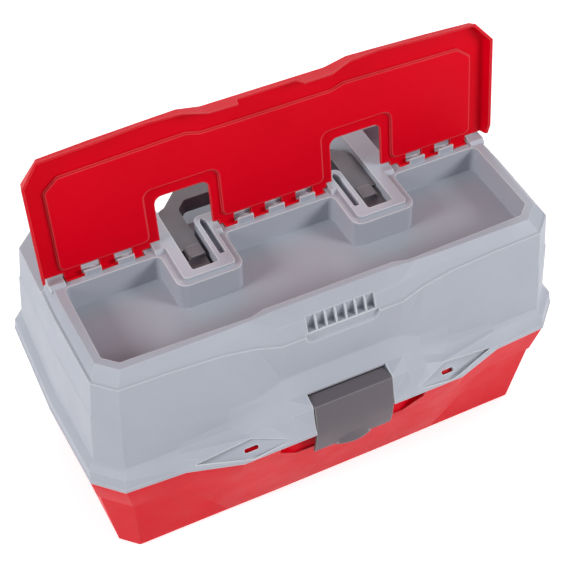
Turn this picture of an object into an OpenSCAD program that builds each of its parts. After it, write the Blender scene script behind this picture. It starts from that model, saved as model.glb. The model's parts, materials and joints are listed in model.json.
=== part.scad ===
// Cantilever-tray tackle box with a flip-open storage compartment in its lid.
// Origin: centre of the base's bottom face. X is the length, -Y the front, +Z up.
// Drawn closed and latched, with the compartment cover open and the handle folded back.

/* [Body] */
// Half the length of the lid's skirt at the seam
skirt_half_len = 219.5; // [212:0.5:228]
// Depth of the skirt's front from the middle of the box, at the corners
skirt_front = 114.3; // [110:0.1:118]
// Depth of the skirt's rear from the middle of the box
skirt_rear = 115; // [112:0.5:118]
// How far the lid's top ledge is inside the skirt at each end
lid_end_taper = 14.9; // [13:0.1:17]
// How far the lid's top ledge is behind the skirt's front
lid_front_taper = 14.1; // [12.5:0.1:16]
// How far the lid's top ledge is in front of the skirt's rear
lid_rear_taper = 19; // [17:0.5:21]
// How far the base's bottom is inside the skirt at each end
foot_end_taper = 19.5; // [16:0.5:23]
// How far the base's bottom is inside the skirt's front
foot_front_taper = 21.3; // [18:0.1:24]
// Cut across each upright corner
corner_cut = 22; // [16:0.5:26]
// Bow of each end wall at the seam
end_bow = 3.5; // [0:0.5:6]
// Wall of the lid and the base
wall_t = 2.5; // [2:0.1:3]
// Height of the seam between base and lid, at the corners
seam_h = 113.5; // [108:0.5:118]
// Height of the compartment's rim
rim_h = 232; // [226:1:240]

/* [Front bulge] */
// How far the skirt's middle stands in front of its corners
bulge_out = 20.2; // [12:0.2:24]
// How far the seam's middle is above its corners
bulge_rise = 5.5; // [2:0.5:8]
// Width of the snap latch
latch_w = 72; // [60:1:80]
// Half the width of the finger grip above the latch
grip_half_w = 31; // [28:0.5:32]
// Gap round the latch and the other moulded moving parts
part_gap = 0.5; // [0.4:0.05:0.8]

/* [Compartment] */
// Depth of the compartment below the rim
tub_depth = 26; // [20:0.5:26]
// Width of the rim at each end of the compartment
tub_end_rim = 14.6; // [13:0.1:18]
// Height of the handle deck and the closed cover above the rim
deck_rise = 3; // [2.5:0.1:4]
// Half the width of the slot that each handle arm lies in
slot_half_w = 11.5; // [10.5:0.1:12.5]
// Distance of each arm slot's middle from the middle of the box
slot_x = 80; // [78:0.5:82]

/* [Cover] */
// Angle that the cover stands open from closed
cover_open = 98; // [95:0.5:100]
// Thickness of the cover
cover_t = 2.5; // [2:0.1:3]
// Width of each hinge hook on the lid
hook_w = 14; // [11:0.5:15]
// Radius of the cover's hinge bar
bar_r = 1.9; // [1.6:0.1:2.1]

/* [Handle] */
// Width of each handle arm
arm_w = 19; // [16:0.5:20]
// Height of the handle's section
handle_t = 15; // [12:0.5:16]
// Depth of the grip from front to back
grip_d = 23; // [18:0.5:26]

/* [Trays] */
// Gap between the trays' ends and the lid's top ledge
tray_end_gap = 9.6; // [9:0.1:13]
// Free height between one tray and the next
tray_gap = 1.5; // [1:0.1:3]
// Wall of each tray
tray_t = 1.8; // [1.5:0.1:2.4]
// How far each tray pivot of an arm is in front of the next one below
arm_reach = 30.641778; // [29:0.1:31]
// Thickness of each link arm
link_t = 3; // [2.5:0.1:3.4]
// Radius of each tray rivet's shank
rivet_r = 2; // [1.6:0.1:2.4]

/* [Hidden] */
eps = 0.01;

// Clearances
run_gap = 0.06;      // round a steel pin or rivet that turns
slide_gap = 0.3;     // between moulded faces that pass or rest near each other
nest_gap = 3.2;      // between the base's tongue and the lid's skirt

// Lengths and depths that follow from the body
lid_half_len = skirt_half_len - lid_end_taper;
lid_front = skirt_front - lid_front_taper;
lid_rear = skirt_rear - lid_rear_taper;
foot_half_len = skirt_half_len - foot_end_taper;
foot_depth = skirt_front - foot_front_taper;
tub_half_len = lid_half_len - tub_end_rim;
tub_front = lid_front - 18.2;
tray_half_len = lid_half_len - tray_end_gap;

// Heights
deck_h = rim_h + deck_rise;
recess_foot = seam_h - 23.5;  // lower edge of the recess round the latch
rear_deck_h = rim_h - 12;
ledge_h = rim_h - 10;
tub_floor = rim_h - tub_depth;
well_floor = rim_h - 20;
grab_floor = rim_h - 43;      // floor of the hand space behind and under the grip
seam_mid = seam_h + bulge_rise;
tongue_h = seam_h + 12;
seam_lip = 0.7;
seam_lip_h = 3.8;
recess_y = -skirt_front - 7.7;
catch_y = -skirt_front - 10.2;
catch_z = seam_h - 14.9;

// Stations along the front, from the middle to the corner, where its line changes
front_x = [0, 34, 54, 74, 102, 147];

// Lid hinge line, at the rear
hinge_y = skirt_rear + 5;
hinge_z = seam_h;
knuckle_r = 4.5;
hinge_pin_r = 1.5;
knuckle_w = 14;
hinge_x = 130;

// Cover hinge line, in a channel behind the compartment
cover_y = 16.3;
cover_z = rim_h - 1.5;
channel_front = cover_y - bar_r - slide_gap;
channel_rear = cover_y + 4.9;
channel_floor = cover_z - 4.5;
hinge_rear = channel_rear + 2;                  // rear face of the channel's rear wall
hook_front = cover_y - 4.1;
hook_top = rim_h + 6.6;
stop_front = 9.5;                               // foot of the stops that the open cover leans behind
plate_z = rim_h + deck_rise - cover_t;          // underside of the closed cover
run_in = slot_x + 38;
run_out = lid_half_len - 18.1;
run_mid = slot_x - 33;
hinge_runs = [[-run_out, -run_in], [-run_mid, run_mid], [run_in, run_out]];
hook_out = [for (f = [0.24088, 0.65693]) run_in + f * (run_out - run_in)];
hook_x = [-hook_out[1], -hook_out[0], -0.60638 * run_mid, 0, 0.60638 * run_mid, hook_out[0], hook_out[1]];

// Handle pivot
handle_y = -12;
handle_z = rim_h - 3 - handle_t / 2;
arm_end_r = 8.3;
arm_out = slot_x + slot_half_w - part_gap;
arm_in = arm_out - arm_w;
slot_front = handle_y - arm_end_r - 0.7;
grip_rear = 86;
gap_front = 34;                                 // front of the finger gap before the grip
handle_pin_r = 2.5;

// Latch pivot, and the arc of its front: two ends and how far the middle stands out
latch_y = -skirt_front - 1.1;
latch_z = seam_h + 31.6;
latch_pin_r = 1.2;
latch_knuckle_r = 2.4;
latch_t = 2.6;
latch_top = [skirt_front + 13.9, latch_z + 2.3];
latch_foot = [skirt_front + 15.6, latch_z - 54.1];
latch_sag = 4.4;
pocket_back = skirt_front - 3.9;

// Tray linkage. Every arm lies arm_rest above the horizontal when the box is closed.
tray_front = 5.2 - lid_front;
tray_first = seam_h + 3.5;
tray_h = (tub_floor - wall_t - 2.5 - tray_first - 2 * tray_gap) / 3;
tray_pitch = tray_h + tray_gap;
function tray_z(k) = tray_first + k * tray_pitch;
arm_rise = tray_pitch - 2.7885;
arm_rest = atan2(arm_rise, arm_reach);
arm_step = norm([arm_reach, arm_rise]);
arm_first = 0.85 * arm_step;
arm_r = [arm_first, arm_first + arm_step, arm_first + 2 * arm_step];
arm_z = tray_first + 11.85475 - 0.85 * arm_rise;
link_x = tray_half_len + 2.2;
link_w = 12;
function along(r) = [-r * cos(arm_rest), r * sin(arm_rest)];
lift_pin = [hinge_y, hinge_z] + along(arm_r[2]);
tray_rear = lift_pin.x + 6;
arm_y = [tray_front + 15.67093 + 2.85 * arm_reach, tray_rear - 12.71644 + 0.85 * arm_reach];
grab_front = tray_rear + 12.329;                // front of the hand space

steel = [0.72, 0.73, 0.75];
grey = [0.68, 0.69, 0.73];
red = [0.86, 0.05, 0.12];
dark = [0.36, 0.34, 0.37];
clear_grey = [0.8, 0.8, 0.82];

// ---------- outlines ----------

function unit(v) = v / norm(v);

// Points of a round corner b, between a and c
function fillet(a, b, c, r, n) =
    r <= 0 ? [[b.x, b.y]] :
    let (u = unit([a.x - b.x, a.y - b.y]), v = unit([c.x - b.x, c.y - b.y]),
         half = acos(u * v) / 2, m = [b.x, b.y] + unit(u + v) * r / sin(half),
         p = [b.x, b.y] + u * r / tan(half), q = [b.x, b.y] + v * r / tan(half),
         a0 = atan2(p.y - m.y, p.x - m.x), a1 = atan2(q.y - m.y, q.x - m.x),
         turn = (a1 - a0 + 540) % 360 - 180)
    [for (i = [0:n]) m + r * [cos(a0 + turn * i / n), sin(a0 + turn * i / n)]];

// Polygon whose corners [x, y, radius] are rounded
function rounded(pts, n = 5) =
    [for (i = [0:len(pts) - 1])
        each fillet(pts[(i + len(pts) - 1) % len(pts)], pts[i], pts[(i + 1) % len(pts)], pts[i][2], n)];

// Half an outline on +X, completed by its mirror image
function both_sides(half) =
    concat(half, [for (i = [len(half) - 1:-1:0]) if (half[i][0] != 0)
        [for (j = [0:len(half[i]) - 1]) j == 0 ? -half[i][0] : half[i][j]]]);

// One level of a shell: half length, front and rear depth, corner cut, end bow, height at
// the corners, extra [depth, rise, shift along X] at each front station, heights of the two ends of the
// side, an inward offset and a downward one
function level(hl, front, rear, cut, bow, z, mid, z_side, z_rear, inset = 0, down = 0) =
    let (k = inset * 0.414)
    both_sides(concat(
        [for (i = [0:len(front_x) - 1])
            [front_x[i] + (len(mid[i]) > 2 ? mid[i][2] : 0), -(front + mid[i][0] - inset),
             z + mid[i][1] - down]],
        [[hl - cut - k, -(front - inset), z - down],
         [hl - inset, -(front - cut) + k, z_side - down],
         [hl + bow - inset, -8, z_side - down],
         [hl - inset, rear - cut - k, z_rear - down],
         [hl - cut - k, rear - inset, z_rear - down],
         [0, rear - inset, z_rear - down]]));

// Closed solid through a stack of levels with equal point counts
module stack(levels) {
    n = len(levels[0]);
    m = len(levels);
    ends = [[0, -8, levels[0][n / 2][2]], [0, -8, levels[m - 1][n / 2][2]]];
    polyhedron(
        points = concat([for (l = levels) each l], ends),
        faces = concat(
            [for (k = [0:m - 2], i = [0:n - 1])
                let (a = k * n + i, b = k * n + (i + 1) % n)
                each i < n / 2 ? [[a, b + n, b], [a, a + n, b + n]]
                               : [[a, a + n, b], [b, a + n, b + n]]],
            [for (i = [0:n - 1]) [n * m, i, (i + 1) % n]],
            [for (i = [0:n - 1])
                [n * m + 1, (m - 1) * n + (i + 1) % n, (m - 1) * n + i]]));
}

// ---------- lid ----------

// Seam with the base; it bulges and climbs towards the latch
function seam_level(inset, up = 0) =
    level(skirt_half_len, skirt_front, skirt_rear, corner_cut, end_bow, seam_h,
          [for (s = [1, 1, 1, 1, 1, 0.24])
              [bulge_out * s, bulge_rise * (s == 1 ? 1 : 0.5)]],
          seam_h, seam_h, inset, -up);

// Top edge of the skirt's front face
function skirt_level(inset, down = 0) =
    level(skirt_half_len - 1.2, skirt_front - 2.3, skirt_rear - 1.2, corner_cut, end_bow, seam_h + 13.5,
          [[16, 20.5], [16, 20.2], [12.6, 15.4], [8.5, 10.3], [8.7, 4.5, -11], [2, 1]],
          seam_h + 13.5, seam_h + 13.5, inset, down);

function shoulder_level(inset) =
    level(skirt_half_len - 3.9, skirt_front - 4.8, skirt_rear - 4.5, corner_cut, end_bow, seam_h + 17,
          [[5, 21], [5, 21], [5, 21], [4, 12], [5, 1.5, -8], [1, 0.5]],
          seam_h + 17, seam_h + 17, inset);

// Foot of the wall above the skirt
function cove_level(inset, down = 0) =
    level(skirt_half_len - 6.9, skirt_front - 8.1, skirt_rear - 10.5, corner_cut - 3, end_bow,
          seam_h + 20,
          [[6.6, 20.5], [6.6, 20.5], [6.6, 20.5], [3.3, 13], [2.8, 1.8], [0.2, 0]],
          seam_h + 20, seam_h + 20, inset, down);

function chevron_level(inset) =
    level(skirt_half_len - 7.3, skirt_front - 9.3, skirt_rear - 11.5, corner_cut - 3, end_bow,
          seam_h + 37.5,
          [[4, 9.5], [4, 9.5], [4, 9.5], [2.5, 1], [1.6, -7.5], [0.6, -14]],
          seam_h + 22, seam_h + 30, inset);

// Crease along the wall, under a shallow step
function brow_level(inset, up = 0) =
    level(lid_half_len + 4.4, lid_front + 2.8, lid_rear + 3.5, corner_cut - 4, end_bow - 1,
          seam_h + 68.5,
          [[2.8, -15], [2.8, -15], [2.7, -16], [2.8, -26.5], [2.5, -26], [1.4, -15]],
          seam_h + 72.5, seam_h + 72.5, inset, -up);

// Groove that the closed cover's edge stands over
function ledge_level(inset, up = 0) =
    level(lid_half_len, lid_front, lid_rear, corner_cut - 5.7, end_bow - 2, ledge_h,
          [[7.3, -11.4], [7.3, -11.4], [7.3, -11.4], [3.8, -7], [1, -3.8], [0.2, -1]],
          ledge_h, ledge_h, inset, -up);

function band_level(inset) =
    level(lid_half_len - 3.6, lid_front - 5.5, lid_rear - 5, corner_cut - 6, end_bow - 2, rim_h - 5.8,
          [[5.8, -2.2], [5.8, -2.2], [4.3, -2.2], [1.8, -1.2], [0.4, -0.4], [0, 0]],
          rim_h - 5.8, rim_h - 5.8, inset);

function rim_level(inset, down = 0) =
    level(lid_half_len - 8.1, lid_front - 10.4, lid_rear - 9, corner_cut - 7, end_bow - 2, rim_h,
          [[-2.3, 0], [-2.3, 0], [-2.3, 0], [-0.8, 0], [0, 0], [0, 0]],
          rim_h, rim_h, inset, down);

module lid_outer() {
    stack([seam_level(0), seam_level(0, seam_lip_h), seam_level(seam_lip, seam_lip_h + 0.7),
           skirt_level(0), shoulder_level(0), cove_level(0), chevron_level(0), brow_level(0),
           brow_level(0.9, 2), ledge_level(0), ledge_level(2.2, 0.4), band_level(0), rim_level(0)]);
}

module lid_cavity() {
    stack([seam_level(wall_t, -1), skirt_level(wall_t, 3), cove_level(wall_t, 3),
           chevron_level(wall_t), brow_level(wall_t), ledge_level(wall_t + 2.2),
           rim_level(wall_t, wall_t + 0.6)]);
}

// Compartment outline, grown by g. It runs round the two handle towers.
tower_in = slot_x - 30;
tower_out = slot_x + 28;
tower_front = slot_front - 12;
tub_rear = 8.4;
function tub_outline(g) =
    rounded(both_sides([
        [0, -tub_front - g, 0], [58, -tub_front - g, 2], [70, -tub_front - 3.5 - g, 2],
        [tub_half_len - 11, -tub_front - 0.5 - g, 2 + g],
        [tub_half_len + g, 10 - tub_front - g * 0.4, 2 + g], [tub_half_len + g, tub_rear + g, 5 + g],
        [tower_out - g, tub_rear + g, 5 + g], [tower_out - g, tower_front + g, 9 - g],
        [tower_in + g, tower_front + g, 9 - g], [tower_in + g, tub_rear + g, 5 + g],
        [0, tub_rear + g, 0]]));

// Pockets in the rear deck, on each side of the handle
pocket_x = lid_half_len - 11.6;
pocket_y = lid_rear - 12;
pocket_floor = tub_floor;

module prism(pts, z0, z1) {
    translate([0, 0, z0]) linear_extrude(z1 - z0) polygon([for (p = pts) [p.x, p.y]]);
}

module block(x0, x1, y0, y1, z0, z1) {
    translate([x0, y0, z0]) cube([x1 - x0, y1 - y0, z1 - z0]);
}

// Bar along X between x0 and x1
module rod(x0, x1, y, z, r) {
    translate([x0, y, z]) rotate([0, 90, 0]) cylinder(r = r, h = x1 - x0, $fn = 48);
}

// Plan of one raised handle deck, inset by g
function deck_outline(g) = rounded([
    [slot_x - 24 + g, slot_front - 7 + g, 4], [slot_x + 21.5 - g, slot_front - 7 + g, 4],
    [slot_x + 21.5 - g, hinge_rear + g, 0], [slot_x + 31 - g, hinge_rear + g, 0],
    [slot_x + 31 - g, lid_rear, 0], [slot_x - 24 + g, lid_rear, 0]]);

// Plan of the recess that the folded handle lies in, grown by g
function well_outline(g) = rounded(both_sides([
    [0, gap_front - g, 0], [slot_x - slot_half_w - g, gap_front - g, 6 - g],
    [slot_x - slot_half_w - g, slot_front - g, 2 + g],
    [slot_x + slot_half_w + g, slot_front - g, 2 + g],
    [slot_x + slot_half_w + g, lid_rear + 20, 0], [0, lid_rear + 20, 0]]));

module raised_decks(g, z0, z1) {
    for (s = [0, 1]) mirror([s, 0, 0]) prism(deck_outline(g), z0, z1);
    // between the towers, up to the handle's finger space
    block(-(slot_x - 22), slot_x - 22, hinge_rear + g, gap_front - g, z0, z1);
}

module lid_inner_walls() {
    prism(tub_outline(wall_t), tub_floor - wall_t, rim_h - 1);
    prism(well_outline(wall_t), well_floor - wall_t, rim_h - 1);
    block(-slot_x - slot_half_w - wall_t, slot_x + slot_half_w + wall_t, grab_front - wall_t, lid_rear + 20,
          grab_floor - wall_t, rim_h - 1);
    raised_decks(0, rear_deck_h - 4, rim_h);
    // channel under the cover's hinge
    block(-run_out - 9.5, run_out + 9.5, channel_front - wall_t, hinge_rear,
          channel_floor - wall_t, rim_h - 1);
    // rear deck and the step down to it
    block(-lid_half_len - 4, lid_half_len + 4, channel_rear, lid_rear + 5, rear_deck_h - wall_t,
          rear_deck_h + 2);
    block(-lid_half_len - 4, lid_half_len + 4, channel_rear, hinge_rear, rear_deck_h - wall_t, rim_h - 1);
    // pockets in the rear deck
    for (s = [0, 1]) mirror([s, 0, 0])
        block(slot_x + 31, pocket_x + wall_t, hinge_rear, pocket_y + wall_t, pocket_floor - wall_t,
              rear_deck_h);
    // backing of the grip
    block(-grip_half_w - 5, grip_half_w + 5, -112, -98.4 + 2.2, rim_h - 22, rim_h - 3);
    block(-grip_half_w - 5, grip_half_w + 5, -112, -104.4 + 2.2, rim_h - 34, rim_h - 20);
    // back and sides of the latch pocket
    block(-latch_w / 2 - 3, latch_w / 2 + 3, -140, -pocket_back + wall_t, seam_mid + 0.8, latch_z + 8);
}

// Hooks that hold the cover's hinge bars: a tall wall in front and a low lip behind
module lid_hooks() {
    for (x = hook_x) difference() {
        union() {
            block(x - hook_w / 2, x + hook_w / 2, hook_front, cover_y, channel_floor - 1, hook_top);
            block(x - hook_w / 2, x + hook_w / 2, cover_y, cover_y + bar_r + 2.1, channel_floor - 1,
                  cover_z + 1.4);
        }
        rod(x - hook_w, x + hook_w, cover_y, cover_z, bar_r + 0.25);
        block(x - hook_w, x + hook_w, cover_y - bar_r - 0.25, cover_y + bar_r * 0.75, cover_z,
              hook_top + 1);
    }
}

// Stop with a slanted front that the open cover's end leans behind
module stop_block(x0, x1) {
    translate([x0, 0, 0]) rotate([90, 0, 90]) linear_extrude(x1 - x0) polygon([
        [stop_front, rim_h - 3], [stop_front, rim_h], [stop_front + 2.8, deck_h],
        [hinge_rear, deck_h], [hinge_rear, rim_h - 3]]);
}

// Finger pockets in the rim's front, with ribs left between them, over a dished scoop
module grip_pockets() {
    pitch = 2 * grip_half_w / 7;
    for (i = [-3:3]) translate([i * pitch, 0, 0])
        block(-pitch / 2 + 0.8, pitch / 2 - 0.8, -112, -98.4, rim_h - 19.6, rim_h - 5);
    intersection() {
        block(-36, 36, -125, -104.4, rim_h - 40, rim_h - 20.8);
        translate([0, -107.4, rim_h - 30.2]) rotate([125, 0, 0]) translate([0, 0, -10])
            linear_extrude(24) polygon(rounded([
                [-grip_half_w - 2.5, 0, 6], [grip_half_w + 2.5, 0, 6],
                [grip_half_w + 1, 16, 0], [-grip_half_w - 1, 16, 0]]));
    }
}

module lid() color(grey) {
    difference() {
        union() {
            difference() {
                lid_outer();
                lid_cavity();
            }
            intersection() {
                lid_outer();
                lid_inner_walls();
            }
            raised_decks(0, rim_h - 3, deck_h);
            for (s = [0, 1]) mirror([s, 0, 0]) {
                stop_block(run_out + 0.8, lid_half_len - 4);
                stop_block(slot_x + 20, slot_x + 30.5);
                stop_block(slot_x - 29.5, slot_x - 20);
            }
            lid_knuckles();
            intersection() {
                lid_outer();
                union() {
                    lift_bosses();
                    for (s = [0, 1]) mirror([s, 0, 0]) skirt_recess(wall_t + 0.6, 0);
                }
            }
        }
        prism(tub_outline(0), tub_floor, deck_h + 5);
        prism(well_outline(0), well_floor, deck_h + 5);
        block(-slot_x - slot_half_w, slot_x + slot_half_w, grab_front, lid_rear + 20, grab_floor,
              deck_h + 5);
        // hollow under the raised decks
        for (s = [0, 1]) mirror([s, 0, 0])
            block(slot_x + slot_half_w + wall_t, slot_x + 31 - wall_t, hinge_rear + wall_t, lid_rear - 9,
                  rear_deck_h - 8, deck_h - wall_t);
        // drop behind the hinge, outside the handle decks
        for (s = [0, 1]) mirror([s, 0, 0])
            block(slot_x + 31, lid_half_len + 10, hinge_rear, lid_rear + 10, rear_deck_h, deck_h + 5);
        for (s = [0, 1]) mirror([s, 0, 0])
            prism(rounded([[slot_x + 33.5, hinge_rear + wall_t, 4], [pocket_x, hinge_rear + wall_t, 4],
                           [pocket_x, pocket_y, 6], [slot_x + 33.5, pocket_y, 6]]),
                  pocket_floor, deck_h);
        // hinge channel
        for (r = hinge_runs)
            block(r[0], r[1], channel_front, channel_rear, channel_floor, deck_h + 5);
        // narrow grooves beside the arm slots
        for (s = [0, 1]) mirror([s, 0, 0])
            prism(rounded([[slot_x - 21, slot_front + 7, 1.5], [slot_x - 15.6, slot_front + 7, 1.5],
                           [slot_x - 15.6, 26, 0], [slot_x - 18.3, 31, 1], [slot_x - 21, 26, 0]]),
                  deck_h - 8, deck_h + 1);
        grip_pockets();
        latch_pocket();
        for (s = [0, 1]) mirror([s, 0, 0]) {
            skirt_recess(0, 12);
            skirt_slot();
        }
        for (s = [-1, 1])
            rod(s * slot_x - slot_half_w - 2, s * slot_x + slot_half_w + 2, handle_y, handle_z,
                handle_pin_r + run_gap);
        rod(-latch_w / 2 - 2.2, latch_w / 2 + 2.2, latch_y, latch_z, latch_pin_r + run_gap);
        for (s = [-1, 1])
            rod(s * hinge_x - 1.5 * knuckle_w - 1, s * hinge_x + 1.5 * knuckle_w + 1, hinge_y, hinge_z,
                hinge_pin_r + run_gap);
    }
    lid_hooks();
}

module latch_pocket() {
    w = latch_w / 2 + part_gap;
    block(-w, w, -145, -pocket_back, seam_h - 10, latch_z + 3.9);
    block(-w, w, -145, -114.7, latch_z, latch_z + 20);
}

// Kite-shaped recess in the facet on each side of the latch, with a short slot through it.
// It runs from `below` under its floor to `above` over it, and is g larger all round.
module skirt_recess(below, above, g = 0) {
    translate([-138, -118.5, seam_h + 7.5]) rotate([37, 0, -14])
        translate([0, 0, -below]) linear_extrude(below + above)
            polygon([[-3 * g, 0], [47.4, -3.2 - g], [81 + 3 * g, 6.6], [46.3, 12.6 + g]]);
}

module skirt_slot() {
    translate([-138, -118.5, seam_h + 7.5]) rotate([37, 0, -14])
        translate([0, 0, -9]) linear_extrude(12) translate([46.5, 4.6]) rotate(11.3) {
            square([9, 3.4], center = true);
            for (x = [-4.5, 4.5]) translate([x, 0]) circle(r = 1.7, $fn = 32);
        }
}

module lift_bosses() {
    for (s = [0, 1]) mirror([s, 0, 0]) {
        rod(tray_half_len + 0.6, lid_half_len + 12, lift_pin.x, lift_pin.y, 5);
        rod(tray_half_len - tray_t + 0.2, tray_half_len + 1, lift_pin.x, lift_pin.y, rivet_r);
    }
}

module lid_knuckles() {
    for (s = [-1, 1]) translate([s * hinge_x, 0, 0]) {
        rod(-knuckle_w / 2 + slide_gap, knuckle_w / 2 - slide_gap, hinge_y, hinge_z, knuckle_r);
        block(-knuckle_w / 2 + slide_gap, knuckle_w / 2 - slide_gap, skirt_rear - 3, hinge_y + knuckle_r,
              hinge_z, hinge_z + 10);
    }
}

// ---------- base ----------

function collar_level(inset, down) =
    level(skirt_half_len - 0.6 - down * 0.18, skirt_front - 0.6 - down * 0.2,
          skirt_rear - 0.6 - down * 0.2, corner_cut, end_bow, seam_h - 0.6 - down,
          [for (s = [1, 1, 1, 1, 1, 0.25])
              [(bulge_out - 1 - down * 0.13) * s, bulge_rise * (s == 1 ? 1 : 0.5)]],
          seam_h - 0.6 - down, seam_h - 0.6 - down, inset);

function foot_level(inset, z, grow = 0) =
    level(foot_half_len + grow, foot_depth + grow, foot_depth + grow, corner_cut - 8, 1, z,
          [[1, 0], [1, 0], [1, 0], [0.8, 0], [0.5, 0], [0.2, 0]], z, z, inset);

// Tongue that stands inside the lid's skirt
function tongue_level(inset, z) =
    level(skirt_half_len - 1.5, skirt_front - 2.3, skirt_rear - 1.5, corner_cut, end_bow, z,
          [[15, 4.5], [15, 4.5], [15, 4.5], [12, 3], [4, 0], [1, 0]], z, min(z, seam_h + 4), inset);

module base_outer() {
    stack([foot_level(2.5, 0), foot_level(0, 3), collar_level(1.2, 33), collar_level(0, 30),
           collar_level(0, 0)]);
}

module base_tongue(g) {
    stack([collar_level(wall_t + nest_gap + g, 8), collar_level(wall_t + nest_gap + g, -2),
           tongue_level(wall_t + nest_gap + g, tongue_h)]);
}

module base_cavity() {
    stack([foot_level(wall_t + 2, wall_t), foot_level(wall_t, wall_t + 3),
           collar_level(wall_t + 1.2, 33), collar_level(wall_t, 30), collar_level(wall_t, 14),
           collar_level(wall_t + nest_gap + 2.2, 8),
           collar_level(wall_t + nest_gap + 2.2, -2), tongue_level(wall_t + nest_gap + 2.2, tongue_h),
           tongue_level(wall_t + nest_gap + 4, tongue_h + 10)]);
}

// Recess round the latch, seen from the front: wide at the seam, narrow below
module latch_recess(g, y0, y1, top) {
    translate([0, y1, 0]) rotate([90, 0, 0]) linear_extrude(y1 - y0) polygon([
        [-69 - g, top], [-68 - g, seam_h - 7], [-51 - g, recess_foot - g],
        [51 + g, recess_foot - g], [68 + g, seam_h - 7], [69 + g, top]]);
}

module base() color(red) {
    difference() {
        union() {
            difference() {
                union() {
                    base_outer();
                    base_tongue(0);
                }
                base_cavity();
            }
            intersection() {
                union() {
                    base_outer();
                    base_tongue(0);
                }
                latch_recess(wall_t, -150, recess_y + wall_t, tongue_h - 1);
            }
            // plate seen through the slots in the lid's skirt
            intersection() {
                base_tongue(0);
                for (s = [0, 1]) mirror([s, 0, 0]) skirt_recess(wall_t + 4, -wall_t - 1.4, 3);
            }
            base_bosses();
            base_knuckles();
        }
        latch_recess(0, -150, recess_y, seam_mid + 30);
        // room for the floors of the lid's kite-shaped recesses
        for (s = [0, 1]) mirror([s, 0, 0]) intersection() {
            skirt_recess(wall_t + 1.4, 14, 1.5);
            block(-150, 0, -150, 0, seam_h + 0.2, rim_h);
        }
        // room for the walls of the lid's latch pocket
        block(-latch_w / 2 - 5, latch_w / 2 + 5, -150, -102, seam_mid - 1, rim_h);
        for (s = [-1, 1])
            rod(s * hinge_x - 1.5 * knuckle_w - 1, s * hinge_x + 1.5 * knuckle_w + 1, hinge_y, hinge_z,
                hinge_pin_r + run_gap);
        for (s = [0, 1], y = arm_y) mirror([s, 0, 0])
            rod(link_x, skirt_half_len - 8, y, arm_z, rivet_r + run_gap);
    }
    // catch that the latch snaps under
    block(-30, 30, catch_y, recess_y + eps, catch_z, catch_z + 4.4);
}

module base_bosses() {
    for (s = [0, 1], y = arm_y) mirror([s, 0, 0])
        rod(link_x + link_t + slide_gap, skirt_half_len - 4, y, arm_z, 6);
}

module base_knuckles() {
    for (s = [-1, 1], k = [-1, 1]) translate([s * hinge_x + k * knuckle_w, 0, 0]) {
        rod(-knuckle_w / 2 + slide_gap, knuckle_w / 2 - slide_gap, hinge_y, hinge_z, knuckle_r);
        block(-knuckle_w / 2 + slide_gap, knuckle_w / 2 - slide_gap, skirt_rear - 4, hinge_y + knuckle_r,
              hinge_z - 12, hinge_z - 0.6);
    }
}

module hinge_pins() color(steel) {
    for (s = [-1, 1])
        rod(s * hinge_x - 1.5 * knuckle_w, s * hinge_x + 1.5 * knuckle_w, hinge_y, hinge_z, hinge_pin_r);
}

// ---------- cover ----------

// The cover is drawn closed, then swung open about its hinge line.
module swung_open() {
    translate([0, cover_y, cover_z]) rotate([-cover_open, 0, 0]) translate([0, -cover_y, -cover_z])
        children();
}

module cover() color(red) swung_open() cover_closed();

function cover_level(hl, front, z, mid, z_side, inset) =
    let (rear = cover_y - 3)
    both_sides(concat(
        [for (i = [0:len(front_x) - 1])
            [front_x[i], -(front + mid[i][0] - inset), z + mid[i][1]]],
        [[hl - 15 - inset * 0.4, -(front - inset), z],
         [hl - inset, -(front - 17) + inset * 0.4, z_side],
         [hl - inset, rear - 14, z_side],
         [hl - inset - 1, rear, z],
         [0, rear, z]]));

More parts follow.
